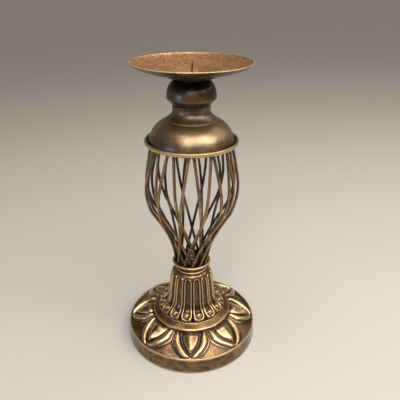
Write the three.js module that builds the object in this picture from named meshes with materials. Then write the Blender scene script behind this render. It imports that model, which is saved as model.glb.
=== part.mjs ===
// A table-top candle stand: a shallow dish with a spike on a round knob and a bell, an open cage of
// twisted wires, and a fluted pedestal on a round base with lotus petals.
// Sizes are in millimetres. +Z is up, the origin is the middle of the underside, and -Y is the front.
import * as THREE from 'three';

// ---- Clearances ----
const seatGap = 0.3; // between two faces that rest on each other
const wireLayerGap = 0.5; // between the outer and the inner layer of cage wires
const studClearance = 0.4; // around a stud in the holes that it passes through

// ---- Felt under the base ----
const feltThickness = 1.5;
const feltProud = 0.5; // how far the felt stands below the metal edge
const rebateLip = 2.2; // metal left outside the felt

// ---- Lotus base ----
const baseFootRadius = 71.5;
const baseRimRadius = 69.4;
const baseWallHeight = 16.9;
const rimBeadWidth = 1.9;
const rimBeadHeight = 1.1;
const fieldRise = 11.6; // from the rim up to the root of the petals
const stepRadius = 42.9;
const stepHeight = 3.6;
const crownRise = 2.4; // the gentle rise from the step to the plateau
const plateauRadius = 36.2;
const plateauHeight = 1.2;
const baseSkin = 3.4;
const petalCount = 8;
const petalTurn = THREE.MathUtils.degToRad(-1); // the front petal stands a little left of the middle
const bossHalfWidth = 9.4; // the boat-shaped boss in the middle of each petal
const bossLength = 21;
const bossHeight = 2.9;
const petalGrooveWidth = 2.8;
const petalGrooveDepth = 0.7;
const ribbonHalfSpan = 20.4; // half the width of a petal over its two rounded ribbons
const ribbonBelly = 9.5; // from the step out to where the petal is widest
const ribbonLength = 20; // from there out to where its ribbons would meet
const ribbonHeight = 2.1;
const carvingMargin = 0.2; // smooth metal between the petals and the step

// ---- Fluted pedestal ----
const pedestalHeight = 48;
const pedestalFootRadius = 34;
const pedestalAnkleRadius = 24.2;
const ankleHeight = 18;
const footLipHeight = 2.4;
const pedestalTopRadius = 16.6;
const pedestalWall = 3.6;
const pedestalTopWall = 4.5;
const fluteCount = 15;
const fluteTurn = THREE.MathUtils.degToRad(-9.5);
const fluteDepth = 1.0;
const ridgeHeight = 0.6;
const valleyDepth = 1.4;
const ridgeShare = 0.7; // where a ridge stands between the middle of its flute and the valley
const fluteFadeHeight = 4.5; // the flutes run out over this height at the top
const scrollRadius = 3.7; // the ball at the foot of each flute
const scrollHeight = 2.3;
const scrollInset = 6.6; // from the foot's edge up the slope to the ball's middle
const notchDepth = 3.4; // the notches between the scrolls

// ---- Collar and cage cup ----
const collarRadius = 17.0;
const collarHeight = 2.4;
const cupRadius = 20.4;
const cupFootRadius = 15.6;
const cupHeight = 7.6;
const cupFloor = 2.6;
const cupLipThickness = 2.6;

// ---- Cage ----
const wireDiameter = 2.6;
const wiresPerLayer = 12;
const wireTwist = THREE.MathUtils.degToRad(60);
const pairSpacing = 4.4; // between the two wires of a pair under the top plate
const cageHeight = 135.8; // from the cup's floor to the top plate
const cageTopRadius = 39.7; // over the wires, as are the next two
const cageBellyRadius = 47.7;
const cageFootRadius = 17.3;

// ---- Top plate ----
const plateRadius = 44.9;
const plateThickness = 1.5;
const plateHeight = 4.6;
const plateLipWidth = 4.8;

// ---- Bell and neck ----
const bellRadius = 41.2;
const bellHeight = 21.4;
const bellThroatRadius = 24.4;
const stepBeadRadius = 25.3;
const stepBeadHeight = 1.6;
const neckHeight = 12.6;
const neckRadius = 17.7;
const neckTopRadius = 18.1;
const bellWall = 1.5;
const neckTopWall = 2.6;

// ---- Knob ----
const knobRadius = 23.2;
const knobHeight = 21.2;
const knobFootRadius = 18.4;
const knobEdgeHeight = 5.6; // the sharp lower edge of the ball, above its coned underside
const knobTopRadius = 16.4;
const knobWall = 2.0;
const knobBossHeight = 6.5;
const recessFloor = 1.0; // metal between the spike's head and the stud's blind hole

// ---- Dish and spike ----
const dishRadius = 54.6; // to the middle of the rim's rolled edge
const dishDepth = 16;
const dishFloorRadius = 15;
const dishWall = 1.2;
const rimRollRadius = 0.9;
const spikeRadius = 1.05;
const spikeHeight = 16;
const spikePointLength = 4.5;
const spikeHeadRadius = 3.4;
const spikeHeadThickness = 1.2;

// ---- Studs, nuts and washers ----
const studRadius = 3;
const nutAcrossFlats = 10;
const nutThickness = 5;
const washerRadius = 7;
const washerThickness = 1.2;
const studEndLength = 3; // past the nut

// ---- Heights, from the floor up ----
const baseBottom = feltProud;
const fieldRim = baseBottom + baseWallHeight - rimBeadHeight;
const fieldRoot = fieldRim + fieldRise;
const stepTop = fieldRoot + stepHeight;
const crownTop = stepTop + crownRise;
const baseTop = crownTop + plateauHeight;
const pedestalBottom = baseTop + seatGap;
const pedestalTop = pedestalBottom + pedestalHeight;
const collarBottom = pedestalTop + seatGap;
const cupBottom = collarBottom + collarHeight + seatGap;
const cupFloorTop = cupBottom + cupFloor;
const plateBottom = cupFloorTop + cageHeight;
const plateTop = plateBottom + plateThickness;
const bellBottom = plateTop + seatGap;
const neckTop = bellBottom + bellHeight + stepBeadHeight + neckHeight;
const knobBottom = neckTop + seatGap;
const knobTop = knobBottom + knobHeight;
const dishBottom = knobTop + seatGap;
const boreRadius = studRadius + studClearance;
const wireRadius = wireDiameter / 2;
const recessDepth = spikeHeadThickness + seatGap; // the knob's seat for the spike's head

// ---- Finishes ----
function finish(name, color, roughness, metalness) {
  return new THREE.MeshStandardMaterial({ name, color, roughness, metalness });
}
const agedBrass = finish('aged_brass', 0x8c6a3a, 0.42, 0.85);
const darkBrass = finish('dark_brass', 0x4a3826, 0.38, 0.8);
const copperBrass = finish('copper_brass', 0xa87448, 0.5, 0.75);
const wireBrass = finish('wire_brass', 0x7d5f35, 0.4, 0.85);
const steel = finish('steel', 0x8f9296, 0.4, 0.9);
const blackFelt = finish('felt', 0x2c2a28, 0.95, 0);

const stand = new THREE.Group();

function addPiece(name, geometry, material, height = 0) {
  const piece = new THREE.Mesh(geometry, material);
  piece.name = name;
  piece.position.z = height;
  stand.add(piece);
  return piece;
}

// ---- Turned shapes: an outline of [radius, height] pairs, counter-clockwise ----
function curveFrom(start, draw, divisions) {
  const path = new THREE.Path();
  path.moveTo(...start);
  draw(path);
  return path.getPoints(divisions).map((point) => [point.x, point.y]);
}

function turned(outline, segments) {
  const points = outline.map(([radius, height]) => new THREE.Vector2(radius, height));
  return new THREE.LatheGeometry(points, segments).rotateX(Math.PI / 2);
}

// The outline's outward unit normal at each of its points.
function outlineNormals(outline) {
  return outline.map((point, index) => {
    const before = outline[Math.max(index - 1, 0)];
    const after = outline[Math.min(index + 1, outline.length - 1)];
    const run = [after[0] - before[0], after[1] - before[1]];
    const length = Math.hypot(...run) || 1;
    return [run[1] / length, -run[0] / length];
  });
}

// A turned shape whose outer outline is carved. For each column of its mesh, carve(radius, column,
// height, run) gives how far the surface is lifted and the angle where the column stands, counted
// from the front. run is the length along the outer outline.
function turnedRelief(outer, inner, columns, carve) {
  const outline = [...outer, ...inner, outer[0]];
  const normals = outlineNormals(outer);
  const runs = [0];
  for (let index = 1; index < outer.length; index += 1) {
    const rise = outer[index][1] - outer[index - 1][1];
    runs.push(runs[index - 1] + Math.hypot(outer[index][0] - outer[index - 1][0], rise));
  }
  const geometry = turned(outline, columns);
  const position = geometry.getAttribute('position');
  for (let turn = 0; turn <= columns; turn += 1) {
    for (let index = 0; index < outline.length; index += 1) {
      const place = index % (outline.length - 1);
      if (place >= outer.length) continue;
      const [radius, height] = outer[place];
      const { lift, angle } = carve(radius, turn % columns, height, runs[place]);
      const newRadius = radius + normals[place][0] * lift;
      const newHeight = height + normals[place][1] * lift;
      const vertex = turn * outline.length + index;
      position.setXYZ(vertex, newRadius * Math.sin(angle), -newRadius * Math.cos(angle), newHeight);
    }
  }
  return geometry;
}

// The mesh columns of a pattern of equal sectors: which sector a column is in, and how many steps
// it stands from the sector's middle.
function sectorPlace(column, columnsPerSector) {
  const half = columnsPerSector / 2;
  const place = ((column + half) % columnsPerSector) - half;
  return { sector: (column - place) / columnsPerSector, steps: Math.abs(place), sense: Math.sign(place) };
}

// 0 at from and 1 at to, with an easy start and end. from may be the larger one.
function smooth(from, to, value) {
  const share = THREE.MathUtils.clamp((value - from) / (to - from), 0, 1);
  return share * share * (3 - 2 * share);
}

// ---- Lotus base ----
const petalColumns = 12;

// One petal from its middle to its side: the boss, a groove, a rounded ribbon and the open field.
function petalSection(radius) {
  const out = Math.max(radius - stepRadius, 0);
  const sectorHalf = (Math.PI / petalCount) * radius;
  const bossPoint = 2.2; // how fully the boss keeps its width before it comes to a point
  const least = 0.4; // the narrowest strip, where the edges of the carving run together
  const bossEdge = bossHalfWidth * (1 - Math.pow(out / bossLength, bossPoint));
  const grooveShare = 1 - Math.pow(out / (bossLength + petalGrooveWidth), bossPoint);
  const grooveEdge = (bossHalfWidth + petalGrooveWidth) * grooveShare;
  const ribbonEdge = ribbonHalfSpan * (1 - Math.pow((out - ribbonBelly) / ribbonLength, 2));
  const boss = Math.max(bossEdge, least);
  const inner = Math.max(grooveEdge, boss + least);
  const outer = Math.min(Math.max(ribbonEdge, inner + 2 * least), sectorHalf - least);
  const bossLift = bossHeight * smooth(0, bossHalfWidth * 0.6, bossEdge);
  return [
    { side: 0, lift: bossLift },
    { side: boss * 0.55, lift: bossLift * 0.62 },
    { side: boss, lift: -petalGrooveDepth },
    { side: inner, lift: -petalGrooveDepth * 0.4 },
    { side: (inner + outer) / 2, lift: ribbonHeight },
    { side: outer, lift: 0 },
    { side: sectorHalf, lift: 0 },
  ];
}

function lotusBase() {
  const fieldRadius = baseRimRadius - rimBeadWidth / 2;
  const rings = 9;
  const petalField = [];
  for (let step = 0; step <= rings; step += 1) {
    const share = step / rings;
    petalField.push([
      fieldRadius + (stepRadius + carvingMargin - fieldRadius) * share,
      fieldRim + fieldRise * share,
    ]);
  }
  const outer = [
    [baseFootRadius, baseBottom],
    [baseRimRadius + rimBeadWidth / 2, fieldRim],
    [baseRimRadius, fieldRim + rimBeadHeight],
    ...petalField,
    [stepRadius, stepTop],
    [plateauRadius + plateauHeight / 3, crownTop],
    [plateauRadius, baseTop],
    [boreRadius, baseTop],
  ];
  const feltRadius = baseFootRadius - rebateLip;
  const ceilingRadius = plateauRadius + plateauHeight / 3;
  const inner = [
    [boreRadius, baseTop - baseSkin],
    [ceilingRadius, baseTop - baseSkin - crownRise],
    [fieldRadius - baseSkin, fieldRim - baseSkin],
    [fieldRadius - baseSkin, feltThickness + seatGap],
    [feltRadius, feltThickness + seatGap],
    [feltRadius, baseBottom],
  ];
  const plainBorder = 2; // smooth metal inside the rim bead
  const fieldStart = fieldRadius - plainBorder;
  const fadeLength = 4.5; // the carving rises to its full height over this length
  return turnedRelief(outer, inner, petalCount * petalColumns, (radius, column) => {
    const { sector, steps, sense } = sectorPlace(column, petalColumns);
    const middle = petalTurn + (sector / petalCount) * 2 * Math.PI;
    const evenStep = (2 * Math.PI) / petalCount / petalColumns;
    if (radius > fieldStart || radius < stepRadius + carvingMargin / 2) {
      return { lift: 0, angle: middle + sense * steps * evenStep };
    }
    const { side, lift } = petalSection(radius)[steps];
    const fade = smooth(fieldRadius, fieldRadius - fadeLength, radius);
    return { lift: lift * fade, angle: middle + (sense * side) / radius };
  });
}

// ---- Fluted pedestal ----
const fluteColumns = 6;

// Each flute is a tongue with a raised edge. Near the foot its edge turns round a ball.
function fluteLift(side, radius, height, run) {
  const halfPitch = (Math.PI / fluteCount) * radius;
  const ridge = ridgeShare * halfPitch;
  const reach = Math.hypot(side, Math.max(scrollInset - run, 0)) / ridge;
  const nearFoot = 1 - smooth(scrollInset + scrollRadius / 2, scrollInset + 3 * scrollRadius, run);
  const valley = valleyDepth + (notchDepth - valleyDepth) * nearFoot;
  let lift = -fluteDepth + (fluteDepth + ridgeHeight) * smooth(0.35, 1, reach);
  if (reach > 1) lift = ridgeHeight - (ridgeHeight + valley) * smooth(1, 1 / ridgeShare, reach);
  const fromBall = Math.hypot(side, run - scrollInset) / scrollRadius;
  if (fromBall < 1) lift += (fluteDepth + scrollHeight) * Math.sqrt(1 - fromBall * fromBall);
  const plainTop = pedestalHeight - 1;
  return lift * smooth(plainTop, plainTop - fluteFadeHeight, height);
}

function flutedPedestal() {
  const footCurve = curveFrom([pedestalFootRadius, footLipHeight], (path) => {
    path.bezierCurveTo(
      pedestalFootRadius - 4.6, footLipHeight + 3.4,
      pedestalAnkleRadius + 0.9, ankleHeight * 0.52,
      pedestalAnkleRadius, ankleHeight,
    );
  }, 6);
  const columnCurve = curveFrom([pedestalAnkleRadius, ankleHeight], (path) => {
    path.bezierCurveTo(
      pedestalAnkleRadius - 0.9, ankleHeight + 10,
      pedestalAnkleRadius - 1.6, pedestalHeight - 0.6,
      pedestalTopRadius, pedestalHeight,
    );
  }, 5);
  const outer = [[pedestalFootRadius, 0], ...footCurve, ...columnCurve.slice(1)];
  const inner = [
    [boreRadius, pedestalHeight],
    [boreRadius, pedestalHeight - pedestalTopWall],
    [pedestalTopRadius - pedestalWall / 3, pedestalHeight - pedestalTopWall],
    [pedestalAnkleRadius - pedestalWall, ankleHeight],
    [pedestalAnkleRadius, 0],
  ];
  return turnedRelief(outer, inner, fluteCount * fluteColumns, (radius, column, height, run) => {
    const { sector, steps, sense } = sectorPlace(column, fluteColumns);
    const halfPitch = (Math.PI / fluteCount) * radius;
    const side = [0, 0.55 * ridgeShare, ridgeShare, 1][steps] * halfPitch;
    const middle = fluteTurn + (sector / fluteCount) * 2 * Math.PI;
    return { lift: fluteLift(side, radius, height, run), angle: middle + (sense * side) / radius };
  });
}

// ---- Collar and cup ----
function pedestalCollar() {
  const rounding = collarHeight * 0.4;
  const edge = curveFrom([collarRadius - rounding, 0], (path) => {
    path.quadraticCurveTo(
      collarRadius + rounding, collarHeight / 2,
      collarRadius - rounding, collarHeight,
    );
  }, 3);
  return turned([[boreRadius, 0], ...edge, [boreRadius, collarHeight], [boreRadius, 0]], 24);
}

function cageCup() {
  const lipMiddle = cupHeight - cupLipThickness / 2;
  const lipCentre = cupRadius - cupLipThickness / 2;
  const bowl = curveFrom([cupFootRadius, 0], (path) => {
    path.quadraticCurveTo(cupFootRadius + 1, cupHeight * 0.3, cupRadius, lipMiddle - 1);
    path.absarc(lipCentre, lipMiddle, cupLipThickness / 2, 0, Math.PI, false);
  }, 3);
  return turned([
    [boreRadius, 0],
    ...bowl,
    [lipCentre - cupLipThickness / 2, cupFloor],
    [boreRadius, cupFloor],
    [boreRadius, 0],
  ], 28);
}

// ---- Cage wires ----
// The outline over the outer wires: shares of the way down and of the way from foot to belly.
const cageTaper = [[0.49, 0.862], [0.65, 0.475], [0.83, 0.133]];

function cageOutline() {
  const drop = (share) => cageHeight * (1 - share);
  const belly = cageBellyRadius - cageFootRadius;
  const points = [
    new THREE.Vector2(cageTopRadius, drop(0)),
    new THREE.Vector2(THREE.MathUtils.lerp(cageTopRadius, cageBellyRadius, 0.575), drop(0.148)),
    new THREE.Vector2(cageBellyRadius, drop(0.318)),
    ...cageTaper.map(([down, out]) => new THREE.Vector2(cageFootRadius + belly * out, drop(down))),
    new THREE.Vector2(cageFootRadius, drop(1)),
  ];
  return new THREE.SplineCurve(points);
}

// A wire's centre line lies below the outline by depth. It turns about the axis the faster the
// nearer it is to it, as a straight wire does that is wound on this form.
class CageWire extends THREE.Curve {
  constructor(depth, startAngle, twist) {
    super();
    const outline = cageOutline();
    const samples = 160;
    const endClearance = seatGap + wireRadius * 0.4; // a slanting end reaches past its middle
    const stations = [];
    for (let index = 0; index <= samples; index += 1) {
      const point = outline.getPoint(index / samples);
      const tangent = outline.getTangent(index / samples);
      stations.push({ radius: point.x + tangent.y * depth, height: point.y - tangent.x * depth });
    }
    const highest = cageHeight - endClearance;
    const kept = stations.filter(({ height }) => height > endClearance && height < highest);
    let winding = 0;
    kept.forEach((station, index) => {
      const last = kept[Math.max(index - 1, 0)];
      const step = Math.hypot(station.radius - last.radius, station.height - last.height);
      winding += step / (station.radius * station.radius);
      station.winding = winding;
    });
    this.points = kept.map((station) => {
      const { radius, height } = station;
      const angle = startAngle + (twist * station.winding) / winding;
      return new THREE.Vector3(radius * Math.sin(angle), -radius * Math.cos(angle), height);
    });
  }

  getPoint(share, target = new THREE.Vector3()) {
    const place = share * (this.points.length - 1);
    const index = Math.min(Math.floor(place), this.points.length - 2);
    return target.lerpVectors(this.points[index], this.points[index + 1], place - index);
  }
}

function cageWire(depth, startAngle, twist) {
  const section = new THREE.Shape();
  const sides = 6;
  for (let side = 0; side < sides; side += 1) {
    const angle = (side / sides) * 2 * Math.PI;
    const point = [wireRadius * Math.cos(angle), wireRadius * Math.sin(angle)];
    if (side === 0) section.moveTo(...point);
    else section.lineTo(...point);
  }
  return new THREE.ExtrudeGeometry(section, {
    steps: 13,
    extrudePath: new CageWire(depth, startAngle, twist),
  });
}

function addCageWires() {
  const halfPair = pairSpacing / 2 / (cageTopRadius - wireRadius);
  const layers = [
    { letter: 'a', depth: wireRadius, sense: -1 },
    { letter: 'b', depth: wireRadius + wireDiameter + wireLayerGap, sense: 1 },
  ];
  for (const { letter, depth, sense } of layers) {
    for (let number = 0; number < wiresPerLayer; number += 1) {
      const angle = (number / wiresPerLayer) * 2 * Math.PI + sense * halfPair;
      const name = `cage_wire_${letter}_${String(number + 1).padStart(2, '0')}`;
      addPiece(name, cageWire(depth, angle, sense * wireTwist), wireBrass, cupFloorTop);
    }
  }
}

// ---- Top plate: a saucer with an upturned lip ----
function cageTopPlate() {
  const floorRadius = plateRadius - plateLipWidth;
  const lipWidth = 1.3; // across the rounded top of the lip
  const lipTop = curveFrom([floorRadius, 0], (path) => {
    path.quadraticCurveTo(plateRadius, 0, plateRadius, plateHeight - lipWidth / 2);
    path.lineTo(plateRadius - lipWidth / 2, plateHeight);
    path.lineTo(plateRadius - lipWidth, plateHeight - lipWidth / 3);
    path.quadraticCurveTo(plateRadius - plateThickness, plateThickness, floorRadius, plateThickness);
  }, 3);
  return turned([[boreRadius, 0], ...lipTop, [boreRadius, plateThickness], [boreRadius, 0]], 36);
}

// ---- Bell and neck, one spun shell ----
function bellShoulder() {
  const throat = bellHeight;
  const neckFoot = bellHeight + stepBeadHeight;
  const top = neckFoot + neckHeight;
  const sideLean = bellRadius - 2; // the first handle of the dome's curve, seen from its edge
  const sideRise = throat * 0.55;
  const shoulderReach = bellThroatRadius + (bellRadius - bellThroatRadius) / 2; // the second one
  const shoulderRise = throat * 0.85;
  const dome = curveFrom([bellRadius, 0], (path) => {
    path.bezierCurveTo(sideLean, sideRise, shoulderReach, shoulderRise, bellThroatRadius, throat);
  }, 5);
  const neck = curveFrom([bellThroatRadius, neckFoot], (path) => {
    path.quadraticCurveTo(
      neckRadius + 0.9, neckFoot + neckHeight * 0.17,
      neckRadius, neckFoot + neckHeight * 0.59,
    );
    path.lineTo(neckTopRadius, top);
  }, 3);
  const inside = curveFrom([neckRadius - bellWall, top - neckTopWall], (path) => {
    path.lineTo(neckRadius - bellWall, neckFoot + neckHeight * 0.4);
    path.lineTo(bellThroatRadius - bellWall, throat - bellWall);
    path.bezierCurveTo(
      shoulderReach - bellWall, shoulderRise - bellWall,
      sideLean - bellWall, sideRise - bellWall,
      bellRadius - bellWall, 0,
    );
  }, 3);
  return turned([
    ...dome,
    [stepBeadRadius, throat + stepBeadHeight * 0.3],
    [stepBeadRadius, throat + stepBeadHeight * 0.8],
    ...neck,
    [boreRadius, top],
    [boreRadius, top - neckTopWall],
    ...inside,
    [bellRadius, 0],
  ], 36);
}

// ---- Knob: a hollow ball with a thick top wall that takes the upper stud ----
function knob() {
  const edgeRounding = 0.3;
  const insideRadius = knobRadius - knobWall;
  const mouthRadius = knobFootRadius - 4 * knobWall; // the opening in the knob's underside
  const recessRadius = spikeHeadRadius + studClearance;
  const recessBottom = knobHeight - recessDepth;
  const holeTop = recessBottom - recessFloor;
  const bossBottom = knobHeight - knobBossHeight;
  const ball = curveFrom([knobFootRadius, 0], (path) => {
    path.lineTo(knobRadius - edgeRounding, knobEdgeHeight - edgeRounding);
    path.lineTo(knobRadius, knobEdgeHeight + 2 * edgeRounding);
    path.quadraticCurveTo(knobRadius - 0.7, knobHeight * 0.7, knobTopRadius, knobHeight);
  }, 5);
  const hollow = curveFrom([knobTopRadius - 2 * knobWall, bossBottom], (path) => {
    path.quadraticCurveTo(insideRadius, knobHeight * 0.62, insideRadius, knobEdgeHeight + 1);
    path.lineTo(knobFootRadius - knobWall / 2, knobWall);
  }, 3);
  return turned([
    [0, holeTop],
    [boreRadius, holeTop],
    [boreRadius, bossBottom],
    ...hollow,
    [mouthRadius, knobWall],
    [mouthRadius, 0],
    ...ball,
    [recessRadius, knobHeight],
    [recessRadius, recessBottom],
    [0, recessBottom],
  ], 32);
}

// ---- Dish: spun sheet with a rolled rim and a flat floor ----
function dripPan() {
  const rimHeight = dishDepth - rimRollRadius;
  const reach = dishRadius - dishFloorRadius;
  const underside = curveFrom([dishFloorRadius, 0], (path) => {
    path.bezierCurveTo(
      dishFloorRadius + reach * 0.38, rimHeight * 0.4,
      dishFloorRadius + reach * 0.78, rimHeight * 0.56,
      dishRadius, rimHeight - rimRollRadius,
    );
    path.absarc(dishRadius, rimHeight, rimRollRadius, -Math.PI / 2, Math.PI, false);
  }, 4);
  const inside = curveFrom([dishRadius - rimRollRadius, rimHeight], (path) => {
    path.bezierCurveTo(
      dishFloorRadius + reach * 0.76, rimHeight * 0.56 + dishWall,
      dishFloorRadius + reach * 0.36, rimHeight * 0.4 + dishWall,
      dishFloorRadius - 0.5, dishWall,
    );
  }, 4);
  const hole = spikeRadius + studClearance;
  return turned([[hole, 0], ...underside, ...inside.slice(1), [hole, dishWall], [hole, 0]], 44);
}

function pricketSpike() {
  const shank = seatGap + dishWall + spikeHeight;
  return turned([
    [0, -spikeHeadThickness],
    [spikeHeadRadius, -spikeHeadThickness],
    [spikeHeadRadius, 0],
    [spikeRadius, 0],
    [spikeRadius, shank - spikePointLength],
    [0, shank],
  ], 12);
}

// ---- Studs, nuts and washers, with plain threads ----
function hexNut() {
  const shape = new THREE.Shape();
  const corner = nutAcrossFlats / Math.sqrt(3);
  for (let side = 0; side < 6; side += 1) {
    const angle = (side * Math.PI) / 3;
    const point = [corner * Math.cos(angle), corner * Math.sin(angle)];
    if (side === 0) shape.moveTo(...point);
    else shape.lineTo(...point);
  }
  shape.closePath();
  const hole = new THREE.Path();
  hole.absarc(0, 0, studRadius + seatGap, 0, 2 * Math.PI, true);
  shape.holes.push(hole);
  return new THREE.ExtrudeGeometry(shape, {
    depth: nutThickness,
    bevelEnabled: false,
    curveSegments: 12,
  });
}

function washer() {
  return turned([
    [boreRadius, washerThickness],
    [boreRadius, 0],
    [washerRadius, 0],
    [washerRadius, washerThickness],
    [boreRadius, washerThickness],
  ], 20);
}

function stud(length) {
  return turned([[0, 0], [studRadius, 0], [studRadius, length], [0, length]], 12);
}

const fastenerStack = washerThickness + nutThickness + 2 * seatGap;

function addUpperFixing() {
  const washerTop = plateBottom - seatGap;
  const nutTop = washerTop - washerThickness - seatGap;
  const studBottom = plateBottom - fastenerStack - studEndLength;
  const studTop = knobTop - recessDepth - recessFloor - seatGap;
  addPiece('upper_washer', washer(), steel, washerTop - washerThickness);
  addPiece('upper_nut', hexNut(), steel, nutTop - nutThickness);
  addPiece('upper_stud', stud(studTop - studBottom), steel, studBottom);
}

function addLowerFixing() {
  const underBase = baseTop - baseSkin;
  const washerTop = underBase - seatGap;
  const nutTop = washerTop - washerThickness - seatGap;
  const studBottom = underBase - fastenerStack - studEndLength;
  const studTop = cupFloorTop + fastenerStack + studEndLength;
  addPiece('base_washer', washer(), steel, washerTop - washerThickness);
  addPiece('base_nut', hexNut(), steel, nutTop - nutThickness);
  addPiece('cup_washer', washer(), steel, cupFloorTop + seatGap);
  addPiece('cup_nut', hexNut(), steel, cupFloorTop + washerThickness + 2 * seatGap);
  addPiece('lower_stud', stud(studTop - studBottom), steel, studBottom);
}

function feltPad() {
  const radius = baseFootRadius - rebateLip - seatGap;
  return turned([[0, 0], [radius, 0], [radius, feltThickness], [0, feltThickness]], 40);
}

// ---- The stand, from the bottom up ----
addPiece('felt_pad', feltPad(), blackFelt);
addPiece('lotus_base', lotusBase(), agedBrass);
addPiece('fluted_pedestal', flutedPedestal(), agedBrass, pedestalBottom);
addPiece('pedestal_collar', pedestalCollar(), agedBrass, collarBottom);
addPiece('cage_cup', cageCup(), agedBrass, cupBottom);
addCageWires();
addLowerFixing();
addPiece('cage_top_plate', cageTopPlate(), agedBrass, plateBottom);
addPiece('bell_shoulder', bellShoulder(), agedBrass, bellBottom);
addPiece('knob', knob(), darkBrass, knobBottom);
addUpperFixing();
addPiece('pricket_spike', pricketSpike(), darkBrass, dishBottom - seatGap);
addPiece('drip_pan', dripPan(), copperBrass, dishBottom);

export default stand;
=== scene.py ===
"""A table-top candle stand of antique brass, dressed around its packed frame.

Heights and radii are in metres. The stand's axis is Z, its front is -Y, and an outline is a list of
[radius, height] pairs that runs counter-clockwise round the metal.
"""

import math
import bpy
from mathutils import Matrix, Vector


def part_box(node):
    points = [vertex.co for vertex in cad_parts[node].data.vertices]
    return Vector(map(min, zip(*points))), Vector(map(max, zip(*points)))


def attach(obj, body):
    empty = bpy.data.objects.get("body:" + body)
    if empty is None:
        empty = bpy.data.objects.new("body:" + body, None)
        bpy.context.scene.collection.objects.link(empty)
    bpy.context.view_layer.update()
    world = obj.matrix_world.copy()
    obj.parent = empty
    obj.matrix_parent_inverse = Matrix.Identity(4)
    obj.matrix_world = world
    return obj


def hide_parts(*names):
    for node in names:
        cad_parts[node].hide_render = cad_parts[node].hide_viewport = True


bl_info = {
    "name": "Torchere Candle Stand",
    "version": (1, 0, 0),
    "blender": (4, 5, 0),
    "location": "3D View > Sidebar > Candle Stand",
    "description": "Builds a candle stand with a lotus base, a fluted pedestal and a wire cage",
    "category": "Add Mesh",
}

from collections import namedtuple

import bmesh
import bpy
import numpy as np
from mathutils import Matrix, Vector
from mathutils.geometry import interpolate_bezier

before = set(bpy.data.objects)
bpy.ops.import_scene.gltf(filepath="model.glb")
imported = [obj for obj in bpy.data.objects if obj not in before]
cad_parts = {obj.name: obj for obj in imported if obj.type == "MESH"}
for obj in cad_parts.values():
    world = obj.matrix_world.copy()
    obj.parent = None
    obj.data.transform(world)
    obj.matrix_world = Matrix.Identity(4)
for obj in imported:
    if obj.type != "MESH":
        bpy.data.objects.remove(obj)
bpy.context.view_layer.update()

MM = 0.001
BODY = "root"
Extent = namedtuple("Extent", "low high reach")


def extent(node):
    """A node's lowest and highest place, and how far it reaches from the axis."""
    low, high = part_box(node)
    return Extent(low.z, high.z, high.x)


# ---- What a user may change ----
def length(millimetres, description):
    """A size."""
    values = {"default": millimetres * MM, "min": 0.0, "unit": "LENGTH", "precision": 5}
    return bpy.props.FloatProperty, description, values


def turn(degrees, description):
    """An angle."""
    return bpy.props.FloatProperty, description, {"default": math.radians(degrees), "subtype": "ANGLE"}


def count(default, description):
    """A whole number."""
    return bpy.props.IntProperty, description, {"default": default, "min": 3}


def share(default, description):
    """A share from 0 to 1."""
    values = {"default": default, "min": 0.0, "max": 1.0, "subtype": "FACTOR"}
    return bpy.props.FloatProperty, description, values


def number(default, description):
    """A plain number."""
    return bpy.props.FloatProperty, description, {"default": default}


def colour(default, description):
    """A linear colour."""
    values = {"default": default, "size": 3, "min": 0.0, "max": 1.0, "subtype": "COLOR"}
    return bpy.props.FloatVectorProperty, description, values


def labelled(group):
    """Makes a group's settings, and gives each its own name as a label."""
    for key, (kind, description, values) in group.__annotations__.items():
        label = key.replace("_", " ").title()
        group.__annotations__[key] = kind(name=label, description=description, **values)
    return group


@labelled
class LotusBaseSizes(bpy.types.PropertyGroup):
    """Sizes of the round base with its petals"""

    rim_radius: length(69.4, "To the middle of the raised bead round the edge")
    wall_height: length(16.9, "The side wall with the bead on it")
    bead_width: length(1.9, "Width of the raised bead")
    bead_height: length(1.1, "Height of the raised bead")
    field_rise: length(11.6, "From the bead up to the root of the petals")
    step_radius: length(42.9, "The ring that the petals grow from")
    step_height: length(3.6, "Height of that ring's edge")
    crown_rise: length(2.4, "From the ring's edge up to the plateau")
    plateau_radius: length(36.2, "The seat of the pedestal")
    skin: length(3.4, "Thickness of the casting")
    rebate_lip: length(2.2, "Metal left outside the felt")
    rebate_depth: length(1.3, "How deep the felt is let in")
    petals: count(8, "Number of petals")
    petal_turn: turn(-1, "Where the front petal stands")
    boss_half_width: length(9.3, "Half the width of the boss in a petal")
    boss_belly: length(5, "From the ring out to the boss's widest place")
    boss_length: length(22, "Length of the boss")
    boss_height: length(4.2, "Height of the boss along its keel")
    groove_width: length(1.9, "The groove round the boss")
    groove_depth: length(0.9, "Depth of that groove")
    ribbon_half_span: length(20.6, "Half the width over both ribbons")
    ribbon_belly: length(9.5, "From the ring out to the widest place")
    ribbon_length: length(20.0, "From there out to where the ribbons meet")
    ribbon_height: length(3.2, "Height of the ribbons")


@labelled
class PedestalSizes(bpy.types.PropertyGroup):
    """Sizes of the short fluted column"""

    ankle_radius: length(24.2, "Radius above the spreading foot")
    ankle_height: length(18.0, "Height of that place")
    foot_lip: length(2.4, "Height of the foot's edge")
    top_radius: length(16.6, "Radius under the collar")
    wall: length(3.6, "Thickness of the casting")
    top_wall: length(4.5, "Thickness of the closed top")
    flutes: count(15, "Number of flutes")
    flute_turn: turn(-9.5, "Where the flute nearest the front stands")
    flute_depth: length(1.3, "Depth of a flute below the plain column")
    ridge_height: length(0.85, "Height of the ridges beside a flute")
    valley_depth: length(1.5, "Depth of the valley between two flutes")
    ridge_share: share(0.70, "Where a ridge stands between flute and valley")
    arch_drop: length(3.6, "From the top down to the arch of a flute")
    ball_radius: length(3.7, "The ball at the foot of a flute")
    ball_height: length(4.3, "How far the ball stands out of its flute")
    ball_inset: length(6.9, "From the foot's edge up to the ball's middle")
    notch_depth: length(3.0, "The notches between the balls' lips")


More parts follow.
